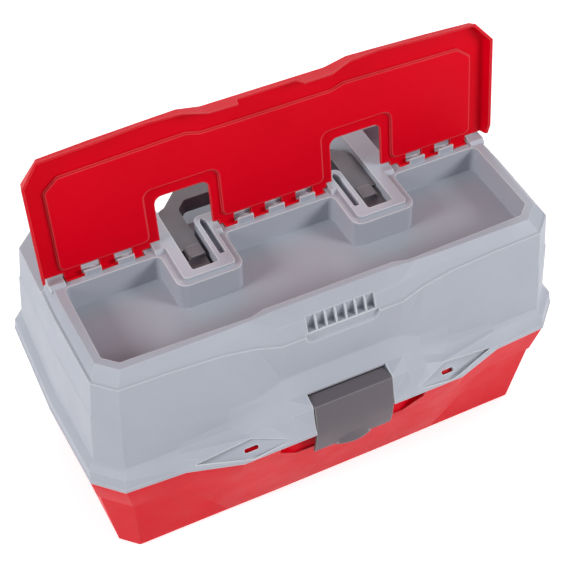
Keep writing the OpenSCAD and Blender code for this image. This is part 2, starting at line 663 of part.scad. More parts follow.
module cover_closed() {
    top = plate_z + cover_t;
    hem_len = lid_half_len + 1.4;
    hem_front = lid_front + 2.3;
    edge_len = lid_half_len - 1.1;
    edge_front = lid_front + 0.6;
    // depth and height of the skirt's lower edge and of the plate's edge, at each station
    skirt_mid = [[3, -11], [3, -11], [3, -10.5], [5, -3], [4, 1], [1.8, 0]];
    room_mid = [[3.6, -11], [3.6, -11], [3.6, -10.5], [5, -3], [4, 1], [1.8, 0]];
    edge_mid = [[1.2, 0], [1.2, 0], [1.2, 0], [5.2, 0], [4.2, 0], [2.4, 0]];
    difference() {
        union() {
            difference() {
                stack([cover_level(hem_len, hem_front, rim_h - 5, skirt_mid, rim_h - 9, 0),
                       cover_level(edge_len, edge_front, top - 1.2, edge_mid, top - 1.2, 0),
                       cover_level(edge_len, edge_front, top, edge_mid, top, 1.3)]);
                stack([cover_level(hem_len, hem_front, rim_h - 6, room_mid, rim_h - 10, 2),
                       cover_level(edge_len, edge_front, plate_z, edge_mid, plate_z, 1.7)]);
                block(-skirt_half_len, skirt_half_len, cover_y - 7, cover_y + 10, rim_h - 20, plate_z);
            }
            // plate and web that carry the hinge bars
            for (r = hinge_runs) {
                block(r[0] + 0.6, r[1] - 0.6, cover_y - 8, cover_y + 1.2, plate_z, top);
                block(r[0] + 0.6, r[1] - 0.6, cover_y - bar_r, cover_y + bar_r, cover_z, plate_z + 1);
            }
            // panel that drops into the compartment's mouth, with a soft edge
            prism(panel_outline(0), plate_z - 1.4, plate_z + 1);
            prism(panel_outline(1), plate_z - 2.8, plate_z + 1);
        }
        // finger gap in the front of the skirt
        translate([0, 5.2 - lid_front, 0]) rotate([90, 0, 0]) linear_extrude(20) polygon(rounded([
            [-26, rim_h - 5, 3], [26, rim_h - 5, 3], [32, rim_h - 28, 0], [-32, rim_h - 28, 0]]));
        for (s = [0, 1]) mirror([s, 0, 0]) {
            // notch for the handle deck
            prism(rounded([[slot_x - 25, tower_front, 7], [slot_x + 22.5, tower_front, 7],
                           [slot_x + 22.5, cover_y + 30, 0], [slot_x - 25, cover_y + 30, 0]]),
                  rim_h - 20, top + 5);
            // gaps for the stops
            block(run_out - 0.5, skirt_half_len, stop_front - 0.6, cover_y + 20, rim_h - 20, top + 5);
            block(slot_x - 30.2, slot_x + 31.2, stop_front - 0.6, cover_y + 20, rim_h - 20, top + 5);
        }
        // windows for the hooks
        for (x = hook_x)
            block(x - hook_w / 2 - 0.7, x + hook_w / 2 + 0.7, cover_y - 9.4, cover_y + 10, rim_h - 20,
                  top + 5);
    }
    for (r = hinge_runs) rod(r[0] + 1, r[1] - 1, cover_y, cover_z, bar_r);
}

function panel_outline(g) =
    rounded(both_sides([
        [0, g + 0.7 - tub_front, 0], [57.5, g + 0.7 - tub_front, 2], [69.5, g - 2.9 - tub_front, 2],
        [tub_half_len - 14, g + 0.1 - tub_front, 4],
        [tub_half_len - 1 - g, 10.5 - tub_front + g * 0.4, 4], [tub_half_len - 1 - g, tub_rear - 3 - g, 5],
        [tower_out + 3 + g, tub_rear - 3 - g, 5], [tower_out + 3 + g, tower_front - 10 - g, 8],
        [tower_in - 3 - g, tower_front - 10 - g, 8], [tower_in - 3 - g, tub_rear - 3 - g, 5],
        [0, tub_rear - 3 - g, 0]]));

// ---------- handle ----------

module handle() color(dark) {
    z0 = handle_z - handle_t / 2;
    z1 = handle_z + handle_t / 2;
    difference() {
        union() {
            prism(handle_outline(), z0, z1);
            for (s = [0, 1]) mirror([s, 0, 0]) {
                rod(arm_in, arm_out, handle_y, handle_z, arm_end_r);
                // pad behind the pivot
                prism(rounded([[arm_in + 1, handle_y + 9, 1], [arm_out - 5, handle_y + 9, 2.5],
                               [arm_out - 5, handle_y + 22, 2.5], [arm_in + 1, handle_y + 22, 1]]),
                      z1 - 4, z1 + 0.8);
            }
        }
        // each arm drops in front of its pad and outside it
        for (s = [0, 1]) mirror([s, 0, 0]) {
            block(arm_in - 1, arm_out + 1, handle_y - 20, handle_y + 9, z1 - 4, z1 + 5);
            block(arm_out - 4, arm_out + 1, handle_y + 8, handle_y + 20, z1 - 3, z1 + 5);
        }
        // and is hollow underneath, like the grip
        for (s = [0, 1]) mirror([s, 0, 0])
            prism(rounded([[arm_in + 2.5, handle_y + arm_end_r + 2, 2],
                           [arm_out - 2.5, handle_y + arm_end_r + 2, 2],
                           [arm_out - 2.5, grip_rear - 40, 2], [arm_in + 2.5, grip_rear - 34, 2]]),
                  z0 - 1, z1 - 5.5);
        block(-56, 56, grip_rear - grip_d + 3, grip_rear - 3, z0 - 1, z1 - 4);
        rod(-arm_out - 1, arm_out + 1, handle_y, handle_z, handle_pin_r + run_gap);
    }
}

function handle_outline() = rounded(both_sides([
    [0, grip_rear - grip_d, 0], [arm_in - 9, grip_rear - grip_d, 5],
    [arm_in, grip_rear - grip_d - 9, 5], [arm_in, handle_y, 0], [arm_out, handle_y, 0],
    [arm_out, grip_rear - 36, 3], [arm_out - 3.5, grip_rear - 27, 2], [arm_out - 9, grip_rear - 24.5, 2],
    [arm_out - 33, grip_rear, 6], [0, grip_rear, 0]]), 4);

module handle_pins() color(steel) {
    for (s = [-1, 1])
        rod(s * slot_x - slot_half_w - 1.8, s * slot_x + slot_half_w + 1.8, handle_y, handle_z,
            handle_pin_r);
}

// ---------- latch ----------

// Points along an arc from a to b whose middle stands out by sag, all moved inward by g
function arc(a, b, sag, n, g = 0) =
    let (m = (a + b) / 2, half = norm(b - a) / 2, r = (half * half + sag * sag) / (2 * sag),
         u = unit([a.y - b.y, b.x - a.x]), c = m - u * (r - sag), a0 = atan2(a.y - c.y, a.x - c.x),
         turn = 2 * asin(half / r))
    [for (i = [0:n]) c + (r - g) * [cos(a0 - turn * i / n), sin(a0 - turn * i / n)]];

function reverse(list) = [for (i = [len(list) - 1:-1:0]) list[i]];

module latch() color(dark) {
    w = latch_w / 2;
    back = -latch_y;
    skin = arc(latch_top, latch_foot, latch_sag, 16, latch_t);
    side = concat([[back, latch_z + latch_knuckle_r]], arc(latch_top, latch_foot, latch_sag, 16),
                  reverse([for (q = skin) if (q.y < latch_top.y - latch_t) q]),
                  [[back, latch_z + latch_knuckle_r - latch_t]]);
    difference() {
        union() {
            translate([w, 0, 0]) rotate([0, -90, 0]) linear_extrude(2 * w)
                polygon([for (p = side) [p.y, -p.x]]);
            rod(-w, w, latch_y, latch_z, latch_knuckle_r);
            finger_tab();
            // hook under the catch
            block(-28, 28, -129.6, catch_y - slide_gap, catch_z - 4.8, catch_z - 0.8);
        }
        rod(-w - 1, w + 1, latch_y, latch_z, latch_pin_r + run_gap);
    }
}

// Lip that flares out of the latch's lower edge for a finger
module finger_tab() {
    r = 40;
    translate([0, -latch_foot.x - 4.5 + r, latch_foot.y]) difference() {
        cylinder(r1 = r, r2 = r - 2.4, h = 15, $fn = 180);
        translate([0, 0, -eps]) cylinder(r1 = r - latch_t, r2 = r - latch_t - 2.4, h = 15 + 3 * eps,
                                         $fn = 180);
        translate([-r - 1, 3.8 - r, -1]) cube([2 * r + 2, 2 * r, 20]);
    }
}

module latch_pin() color(steel)
    rod(-latch_w / 2 - 2.2, latch_w / 2 + 2.2, latch_y, latch_z, latch_pin_r);

// ---------- tray linkage ----------

// One link arm from its base pivot, lying in the X = x0 plane
module link_arm(y) {
    difference() {
        union() {
            translate([link_x, y, arm_z]) rotate([0, 90, 0]) cylinder(r = link_w / 2, h = link_t, $fn = 48);
            for (r = arm_r) {
                p = along(r);
                translate([link_x, y + p.x, arm_z + p.y]) rotate([0, 90, 0])
                    cylinder(r = link_w / 2, h = link_t, $fn = 48);
            }
            translate([link_x, y, arm_z]) rotate([-arm_rest, 0, 0])
                translate([0, -arm_r[2], -link_w / 2 + 1.5]) cube([link_t, arm_r[2], link_w - 3]);
        }
        for (r = concat([0], arm_r)) {
            p = along(r);
            rod(link_x - 1, link_x + link_t + 1, y + p.x, arm_z + p.y, rivet_r + run_gap);
        }
    }
}

module front_arm_right() color(dark) link_arm(arm_y[0]);
module front_arm_left() color(dark) mirror([1, 0, 0]) link_arm(arm_y[0]);
module rear_arm_right() color(dark) link_arm(arm_y[1]);
module rear_arm_left() color(dark) mirror([1, 0, 0]) link_arm(arm_y[1]);

module base_rivets() color(steel) {
    for (s = [0, 1], y = arm_y) mirror([s, 0, 0]) {
        rod(link_x - 1, skirt_half_len - 8.2, y, arm_z, rivet_r);
        rod(link_x - 1, link_x - slide_gap, y, arm_z, rivet_r * 1.8);
    }
}

module tray_rivets(k) {
    for (s = [0, 1], y = arm_y) mirror([s, 0, 0]) {
        p = along(arm_r[k]);
        rod(tray_half_len - tray_t - 1, link_x + link_t + 1.2, y + p.x, arm_z + p.y, rivet_r);
        rod(link_x + link_t + slide_gap, link_x + link_t + 1.2, y + p.x, arm_z + p.y, rivet_r * 1.8);
        rod(tray_half_len - tray_t - 1, tray_half_len - tray_t, y + p.x, arm_z + p.y, rivet_r * 1.8);
    }
}

module rivets_low() color(steel) tray_rivets(0);
module rivets_mid() color(steel) tray_rivets(1);
module rivets_top() color(steel) tray_rivets(2);

// ---------- trays ----------

tray_mid_y = (tray_front + tray_rear) / 2;
divider_t = 1.6;

function tray_outline(g) =
    let (x = tray_half_len - g, y0 = tray_front + g, y1 = tray_rear - g)
    rounded([[-x, y0, 12 - g], [x, y0, 12 - g], [x, y1, 6 - g], [-x, y1, 6 - g]]);

// Open tray, empty
module tray_shell(k) {
    z = tray_z(k);
    l = tray_half_len;
    difference() {
        prism(tray_outline(0), z, z + tray_h);
        prism(tray_outline(tray_t), z + tray_t, z + tray_h + 1);
        for (s = [0, 1], y = arm_y) mirror([s, 0, 0]) {
            p = along(arm_r[k]);
            rod(l - 5, l + 5, y + p.x, arm_z + p.y, rivet_r + run_gap);
        }
        if (k == 2) for (s = [0, 1]) mirror([s, 0, 0])
            rod(l - 5, l + 5, lift_pin.x, lift_pin.y, rivet_r + 0.4);
    }
}

// Tray with a long wall and fixed cross walls at these places in front and behind it
module tray(k, front_walls, rear_walls) {
    z = tray_z(k);
    l = tray_half_len;
    tray_shell(k);
    block(-l + tray_t, l - tray_t, tray_mid_y - tray_t / 2, tray_mid_y + tray_t / 2, z + tray_t - eps,
          z + tray_h - 1);
    for (x = front_walls)
        block(x - tray_t / 2, x + tray_t / 2, tray_front + tray_t - eps, tray_mid_y, z + tray_t - eps,
              z + tray_h - 1);
    for (x = rear_walls)
        block(x - tray_t / 2, x + tray_t / 2, tray_mid_y, tray_rear - tray_t + eps, z + tray_t - eps,
              z + tray_h - 1);
}

// Loose dividers that stand across the front row of a tray
module dividers(k, places) {
    z = tray_z(k);
    for (x = places)
        block(x - divider_t / 2, x + divider_t / 2, tray_front + tray_t + slide_gap,
              tray_mid_y - tray_t / 2 - slide_gap, z + tray_t, z + tray_h - 2);
}

// Loose long partition and rear dividers of the top tray
module partition(k, places) {
    z = tray_z(k);
    l = tray_half_len - tray_t - slide_gap;
    block(-l, l, tray_mid_y - tray_t / 2, tray_mid_y + tray_t / 2, z + tray_t, z + tray_h - 1);
    for (x = places)
        block(x - divider_t / 2, x + divider_t / 2, tray_mid_y + tray_t / 2 + slide_gap,
              tray_rear - tray_t - slide_gap, z + tray_t, z + tray_h - 2);
}

walls_low = [-65, 65];
walls_mid = [-65, 65];
walls_top = [-65, 65];

module tray_low() color(clear_grey) tray(0, walls_low, [0]);
module tray_mid() color(clear_grey) tray(1, walls_mid, [-65, 65]);
module tray_top() color(clear_grey) tray_shell(2);
module dividers_low() color(clear_grey) dividers(0, [0]);
module dividers_mid() color(clear_grey) dividers(1, [0]);
module dividers_top() color(clear_grey) {
    dividers(2, [-130, 0, 130]);
    dividers(2, walls_top);
    partition(2, walls_top);
}

base();
lid();
cover();
handle();
latch();
latch_pin();
handle_pins();
hinge_pins();
front_arm_left();
front_arm_right();
rear_arm_left();
rear_arm_right();
base_rivets();
tray_low();
tray_mid();
tray_top();
dividers_low();
dividers_mid();
dividers_top();
rivets_low();
rivets_mid();
rivets_top();
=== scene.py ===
"""Dressed model of a cantilever tackle box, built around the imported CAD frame.

Every length is in metres, in the frame's own axes: X along the box, -Y towards the latch, Z up.
"""

import json
import math

import bmesh
import bpy
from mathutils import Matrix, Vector

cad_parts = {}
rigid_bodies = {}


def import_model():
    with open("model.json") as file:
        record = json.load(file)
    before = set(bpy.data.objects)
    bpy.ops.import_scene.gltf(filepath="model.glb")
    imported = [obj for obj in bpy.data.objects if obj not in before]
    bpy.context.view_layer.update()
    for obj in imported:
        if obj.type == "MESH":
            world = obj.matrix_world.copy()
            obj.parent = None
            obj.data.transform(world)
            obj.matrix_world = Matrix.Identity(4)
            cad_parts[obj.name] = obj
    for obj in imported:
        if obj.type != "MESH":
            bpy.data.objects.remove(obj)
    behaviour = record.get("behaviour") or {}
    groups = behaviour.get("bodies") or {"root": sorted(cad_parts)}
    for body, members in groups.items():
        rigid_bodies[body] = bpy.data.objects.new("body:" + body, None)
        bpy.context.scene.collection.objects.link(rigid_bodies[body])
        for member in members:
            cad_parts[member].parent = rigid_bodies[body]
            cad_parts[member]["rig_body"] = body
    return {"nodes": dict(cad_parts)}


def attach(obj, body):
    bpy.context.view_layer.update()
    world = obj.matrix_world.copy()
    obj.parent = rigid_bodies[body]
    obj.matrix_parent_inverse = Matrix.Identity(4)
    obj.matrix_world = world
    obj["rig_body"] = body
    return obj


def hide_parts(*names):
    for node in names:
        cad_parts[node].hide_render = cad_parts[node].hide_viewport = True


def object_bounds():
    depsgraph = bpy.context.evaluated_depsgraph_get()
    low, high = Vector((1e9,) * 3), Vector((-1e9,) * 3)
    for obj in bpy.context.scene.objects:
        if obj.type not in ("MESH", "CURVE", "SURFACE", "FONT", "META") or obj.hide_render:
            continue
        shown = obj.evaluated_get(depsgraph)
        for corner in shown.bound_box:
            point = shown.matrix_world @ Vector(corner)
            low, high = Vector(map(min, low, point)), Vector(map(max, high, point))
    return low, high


bl_info = {
    "name": "Cantilever tackle box",
    "version": (1, 0, 0),
    "blender": (4, 5, 0),
    "location": "3D View > Sidebar > Tackle box",
    "description": "Dresses the tackle box's frame with its plastics, pins and tray fittings",
    "category": "Object",
}

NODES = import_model()["nodes"]
CAD_BOX = [list(corner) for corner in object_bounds()]


# ---------- settings a user would change ----------

class PlasticColours(bpy.types.PropertyGroup):
    """Colours of the moulded plastics and the steel."""
    red: bpy.props.FloatVectorProperty(
        name="Red", description="Base and compartment cover", subtype="COLOR", size=3,
        min=0.0, max=1.0, default=(0.62, 0.0, 0.01))
    grey: bpy.props.FloatVectorProperty(
        name="Grey", description="Lid", subtype="COLOR", size=3,
        min=0.0, max=1.0, default=(0.36, 0.38, 0.435))
    dark: bpy.props.FloatVectorProperty(
        name="Dark grey", description="Handle and latch", subtype="COLOR", size=3,
        min=0.0, max=1.0, default=(0.1, 0.088, 0.102))
    arm: bpy.props.FloatVectorProperty(
        name="Arm black", description="Link arms of the trays", subtype="COLOR", size=3,
        min=0.0, max=1.0, default=(0.03, 0.03, 0.033))
    tray: bpy.props.FloatVectorProperty(
        name="Tray grey", description="Trays and their loose dividers", subtype="COLOR", size=3,
        min=0.0, max=1.0, default=(0.5, 0.52, 0.56))
    steel: bpy.props.FloatVectorProperty(
        name="Steel", description="Pins and rivets", subtype="COLOR", size=3,
        min=0.0, max=1.0, default=(0.56, 0.56, 0.58))


class SurfaceFinish(bpy.types.PropertyGroup):
    """Edge softness, a painted highlight along outer edges, and moulded texture."""
    edge_radius: bpy.props.FloatProperty(
        name="Edge radius", description="Rounding of every moulded edge", unit="LENGTH",
        min=0.0002, max=0.002, default=0.0011)
    # painted highlight: how much lighter the colour is made along outer edges, in place of the
    # light they catch
    edge_light: bpy.props.FloatProperty(
        name="Edge light", description="How much lighter outer edges are", min=0.0, max=1.0,
        default=0.7)
    grain: bpy.props.FloatProperty(
        name="Grain size", description="Size of one pebble of the textured plastic", unit="LENGTH",
        min=0.0002, max=0.002, default=0.0006)
    grain_depth: bpy.props.FloatProperty(
        name="Grain depth", description="Depth of the textured plastic's pebbles", unit="LENGTH",
        min=0.0, max=0.0002, default=0.00003)


class TrayFittings(bpy.types.PropertyGroup):
    """Rim beads, divider slots and loose dividers of the trays."""
    tray_wall: bpy.props.FloatProperty(
        name="Tray wall", description="Thickness of the trays' walls", unit="LENGTH",
        min=0.001, max=0.003, default=0.0018)
    bead: bpy.props.FloatProperty(
        name="Bead radius", description="Radius of the bead round each tray's rim", unit="LENGTH",
        min=0.0003, max=0.0009, default=0.0005)
    slot_spacing: bpy.props.FloatProperty(
        name="Slot spacing", description="Distance between the places a divider can stand",
        unit="LENGTH", min=0.006, max=0.04, default=0.013)
    slot_width: bpy.props.FloatProperty(
        name="Slot width", description="Gap between the two ribs of a slot", unit="LENGTH",
        min=0.0017, max=0.003, default=0.0021)
    rib: bpy.props.FloatProperty(
        name="Rib size", description="Width and depth of one rib", unit="LENGTH",
        min=0.0004, max=0.0015, default=0.0009)
    lip: bpy.props.FloatProperty(
        name="Divider lip", description="Height of the thicker top edge of a divider, and how much "
        "thicker it is", unit="LENGTH", min=0.0002, max=0.002, default=0.001)


class StageSettings(bpy.types.PropertyGroup):
    """Camera, lamps and floor."""
    camera_place: bpy.props.FloatVectorProperty(
        name="Camera place", description="Where the camera stands", subtype="TRANSLATION",
        size=3, default=(-0.3709, -0.7638, 1.0534))
    camera_turn: bpy.props.FloatVectorProperty(
        name="Camera turn", description="The camera's XYZ Euler angles", subtype="EULER", size=3,
        default=tuple(math.radians(a) for a in (43.3534, 0.3251, -26.2883)))
    focal_pixels: bpy.props.FloatProperty(
        name="Focal length in pixels", description="Focal length for a frame 570 pixels wide",
        min=500.0, max=4000.0, default=1424.2)
    key_power: bpy.props.FloatProperty(
        name="Key light", description="Power of the large soft light", unit="POWER",
        min=0.0, max=200.0, default=46.0)
    fill_power: bpy.props.FloatProperty(
        name="Fill light", description="Power of the light from the other side", unit="POWER",
        min=0.0, max=200.0, default=56.0)
    back_power: bpy.props.FloatProperty(
        name="Back light", description="Power of the light from behind", unit="POWER",
        min=0.0, max=200.0, default=26.0)
    ambient: bpy.props.FloatProperty(
        name="Ambient light", description="Strength of the white surroundings on the object",
        min=0.0, max=2.0, default=0.42)


# ---------- meshes ----------

MERGE_DISTANCE = 2e-6       # corners of a CAD mesh that are closer than this are one
TINY_EDGE = 1e-6            # edges shorter than this are dropped
FLAT_ANGLE = 0.3            # faces that turn fewer degrees than this are joined
SHARP_ANGLE = 30.0          # degrees from which every edge shows
CREASE_ANGLE = 3.0          # degrees from which an edge between two broad facets shows
BASE_CREASE = 13.0          # the same on the base, whose bowed front is smooth
BROAD_FACET = 0.004         # width across the edge from which a facet is broad


def linked(name, data):
    """New object in the scene, of a mesh, a lamp or a camera."""
    thing = bpy.data.objects.new(name, data)
    bpy.context.scene.collection.objects.link(thing)
    return thing


def applied(piece):
    """The piece again, with its modifiers worked into a plain mesh."""
    graph = bpy.context.evaluated_depsgraph_get()
    made = bpy.data.meshes.new_from_object(piece.evaluated_get(graph), depsgraph=graph)
    piece.modifiers.clear()
    made.name = piece.name
    piece.data = made
    return piece


def is_crease(edge, crease):
    """True where an edge shows: any sharp one, and a shallow one between two broad facets."""
    if len(edge.link_faces) != 2:
        return True
    angle = edge.calc_face_angle(math.pi)
    if angle >= math.radians(SHARP_ANGLE):
        return True
    width = min(face.calc_area() for face in edge.link_faces) / max(edge.calc_length(), TINY_EDGE)
    return angle >= math.radians(crease) and width >= BROAD_FACET


def merged_copy(node, name, crease):
    """Clean copy of a CAD node's loose triangles: merged, flat faces joined, shaded by facet."""
    mesh = bpy.data.meshes.new(name)
    bm = bmesh.new()
    bm.from_mesh(NODES[node].data)
    bmesh.ops.remove_doubles(bm, verts=bm.verts, dist=MERGE_DISTANCE)
    bmesh.ops.dissolve_degenerate(bm, edges=bm.edges, dist=TINY_EDGE)
    bmesh.ops.dissolve_limit(bm, angle_limit=math.radians(FLAT_ANGLE), verts=bm.verts,
                             edges=bm.edges)
    for face in bm.faces:
        face.smooth = True
    for edge in bm.edges:
        edge.smooth = not is_crease(edge, crease)
    bmesh.ops.triangulate(bm, faces=bm.faces)
    bm.to_mesh(mesh)
    bm.free()
    piece = linked(name, mesh)
    weigh = piece.modifiers.new("even_shading", "WEIGHTED_NORMAL")
    weigh.keep_sharp = True
    return applied(piece)


def body_of(node):
    """Name of the CAD body that a node belongs to."""
    return NODES[node]["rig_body"]


def dress(node, name, material, crease=CREASE_ANGLE):
    """Shows a clean, finished copy of a CAD node in place of the node."""
    piece = merged_copy(node, name, crease)
    piece.data.materials.append(material)
    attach(piece, body_of(node))
    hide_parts(node)


def solids_of(node):
    """Low and high corner of each separate solid in a CAD node, in order of the low corner."""
    bm = bmesh.new()
    bm.from_mesh(NODES[node].data)
    bmesh.ops.remove_doubles(bm, verts=bm.verts, dist=MERGE_DISTANCE)
    left, boxes = set(bm.verts), []
    while left:
        front = [left.pop()]
        places = []
        while front:
            vert = front.pop()
            places.append(vert.co.copy())
            for edge in vert.link_edges:
                other = edge.other_vert(vert)
                if other in left:
                    left.remove(other)
                    front.append(other)
        boxes.append(tuple(Vector([pick(p[axis] for p in places) for axis in range(3)])
                           for pick in (min, max)))
    bm.free()
    return sorted(boxes, key=lambda box: tuple(round(v, 5) for v in box[0]))


# ---------- node trees ----------

class Tree:
    """Small helper that adds nodes to one tree and links them.

    In node(), positional values and capitalised names feed sockets, and other names set the
    node's own options. A value is a constant or another node's output.
    """

    def __init__(self, tree):
        self.tree = tree

    def feed(self, socket, value):
        if isinstance(value, bpy.types.NodeSocket):
            self.tree.links.new(value, socket)
        else:
            socket.default_value = value

    def node(self, kind, *values, **named):
        node = self.tree.nodes.new(kind)
        for key, value in named.items():
            if key[0].islower():
                setattr(node, key, value)
        for index, value in enumerate(values):
            self.feed(node.inputs[index], value)
        for key, value in named.items():
            if not key[0].islower():
                self.feed(node.inputs[key.replace("_", " ")], value)
        return node


class Growth(Tree):
    """Helper that builds one Geometry Nodes tree with named inputs."""

    def __init__(self, name):
        super().__init__(bpy.data.node_groups.new(name, "GeometryNodeTree"))
        for way in ("INPUT", "OUTPUT"):
            self.tree.interface.new_socket("Geometry", in_out=way, socket_type="NodeSocketGeometry")
        self.start = self.node("NodeGroupInput")
        self.end = self.node("NodeGroupOutput")
        self.points = self.start.outputs["Geometry"]
        self.values = {}

    def size(self, name, value, kind="Float"):
        """Named input, and the value that the modifier gives it."""
        socket = self.tree.interface.new_socket(
            name, in_out="INPUT", socket_type="NodeSocket" + kind)
        self.values[socket.identifier] = value
        return self.start.outputs[name]

    def add(self, kind, *values, **named):
        """First output of a new node."""
        return self.node(kind, *values, **named).outputs[0]

    def math(self, operation, first, second):
        return self.add("ShaderNodeMath", first, second, operation=operation)

    def vector(self, x, y, z):
        return self.add("ShaderNodeCombineXYZ", x, y, z)

    def split(self, vector):
        """Outputs X, Y and Z of a vector."""
        return self.node("ShaderNodeSeparateXYZ", vector).outputs

    def place(self):
        """Where each point is."""
        return self.add("GeometryNodeInputPosition")

    def own_size(self):
        """The size that grown() stored with each point."""
        return self.add("GeometryNodeInputNamedAttribute", "size", data_type="FLOAT_VECTOR")

    def box(self, size):
        return self.add("GeometryNodeMeshCube", size)

    def moved(self, geometry, place, turn=(0, 0, 0)):
        return self.add("GeometryNodeTransform", geometry, Translation=place, Rotation=turn)

    def join(self, *parts):
        node = self.node("GeometryNodeJoinGeometry")
        for part in parts:
            self.feed(node.inputs[0], part)
        return node.outputs[0]

    def on_points(self, points, instance, **named):
        return self.add("GeometryNodeInstanceOnPoints", points, Instance=instance, **named)

    def finish(self, geometry, material):
        """Ends the tree with real geometry in one material."""
        real = self.add("GeometryNodeRealizeInstances", geometry)
        dressed = self.add("GeometryNodeSetMaterial", real, Material=material)
        self.feed(self.end.inputs[0], dressed)


def grown(growth, name, points, sizes=None):
    """Plain mesh object that the tree makes from these points, each with its own size."""
    mesh = bpy.data.meshes.new(name + "_points")
    mesh.from_pydata([tuple(p) for p in points], [], [])
    if sizes:
        store = mesh.attributes.new("size", "FLOAT_VECTOR", "POINT")
        store.data.foreach_set("vector", [v for size in sizes for v in size])
    piece = linked(name, mesh)
    modifier = piece.modifiers.new("shape", "NODES")
    modifier.node_group = growth.tree
    for identifier, value in growth.values.items():
        modifier[identifier] = value
    return applied(piece)


# ---------- grown pieces ----------

RIVET_SIDES = 20
HEAD_TO_SHANK = 1.8         # radius of a rivet's head divided by its shank's
BASE_HEAD = 0.0007          # thickness of a head on the base's rivets
TRAY_HEAD = 0.0009          # thickness of a head on the trays' rivets
HEAD_BRIM = 0.45            # share of a head's thickness that is its straight brim
HEAD_TOP = 0.62             # radius of a head's flat top divided by the head's
TRAY_FRONT_CORNER = 0.012   # radii of the trays' corners, as the CAD has them
TRAY_REAR_CORNER = 0.006
CORNER_POINTS = 6           # points of the rim's bead round one corner
BEAD_SIDES = 8
ROW_MARGIN = 0.013          # least distance from a row's last slot to the tray's end
RIB_DROP = 0.002            # how far the ribs end below the rim


def side_turn(g):
    """Half a turn about Z for the points on the left side, so that +X always looks outward."""
    left = g.math("LESS_THAN", g.split(g.place())["X"], 0.0)
    turn = g.vector(0.0, 0.0, g.math("MULTIPLY", left, math.pi))
    return g.add("FunctionNodeEulerToRotation", turn)


def rivet_growth(length, shank_r, head_r, head_t, two_heads, material):
    """Rivets that point outward from their inner ends, with a domed head there or on both ends."""
    g = Growth("rivets")
    length = g.size("Length", length)
    shank_r = g.size("Shank radius", shank_r)
    head_r = g.size("Head radius", head_r)
    head_t = g.size("Head thickness", head_t)
    outward, inward = (0.0, math.pi / 2, 0.0), (0.0, -math.pi / 2, 0.0)
    shank = g.add("GeometryNodeMeshCylinder", Vertices=RIVET_SIDES, Radius=shank_r, Depth=length)
    shank = g.moved(shank, g.vector(g.math("DIVIDE", length, 2.0), 0.0, 0.0), outward)
    top_r = g.math("MULTIPLY", head_r, HEAD_TOP)
    low = g.math("MULTIPLY", head_t, HEAD_BRIM)
    high = g.math("SUBTRACT", head_t, low)
    brim = g.add("GeometryNodeMeshCone", Vertices=RIVET_SIDES, Radius_Top=head_r,
                 Radius_Bottom=head_r, Depth=low)
    crown = g.add("GeometryNodeMeshCone", Vertices=RIVET_SIDES, Radius_Top=top_r,
                  Radius_Bottom=head_r, Depth=high)
    head = g.join(brim, g.moved(crown, g.vector(0.0, 0.0, low)))
    parts = [shank, g.moved(head, g.vector(head_t, 0.0, 0.0), inward)]
    if two_heads:
        start = g.math("SUBTRACT", length, head_t)
        parts.append(g.moved(head, g.vector(start, 0.0, 0.0), outward))
    spread = g.on_points(g.points, g.join(*parts), Rotation=side_turn(g))
    g.finish(g.add("GeometryNodeSetShadeSmooth", spread, Shade_Smooth=False), material)
    return g


def divider_growth(lip, material):
    """Plates of each point's own size, with a thicker lip along the top edge."""
    g = Growth("dividers")
    lip = g.size("Lip", lip)
    size = g.own_size()
    x, y, z = g.split(size)
    unit = g.box((1.0, 1.0, 1.0))
    plates = g.on_points(g.points, unit, Scale=size)
    along_x = g.math("GREATER_THAN", x, y)
    along_y = g.math("SUBTRACT", 1.0, along_x)
    wide = g.vector(g.math("ADD", x, g.math("MULTIPLY", lip, along_y)),
                    g.math("ADD", y, g.math("MULTIPLY", lip, along_x)), lip)
    top = g.math("SUBTRACT", g.math("DIVIDE", z, 2.0), g.math("DIVIDE", lip, 2.0))
    tops = g.add("GeometryNodeSetPosition", g.points, Offset=g.vector(0.0, 0.0, top))
    lips = g.on_points(tops, unit, Scale=wide)
    g.finish(g.join(plates, lips), material)
    return g


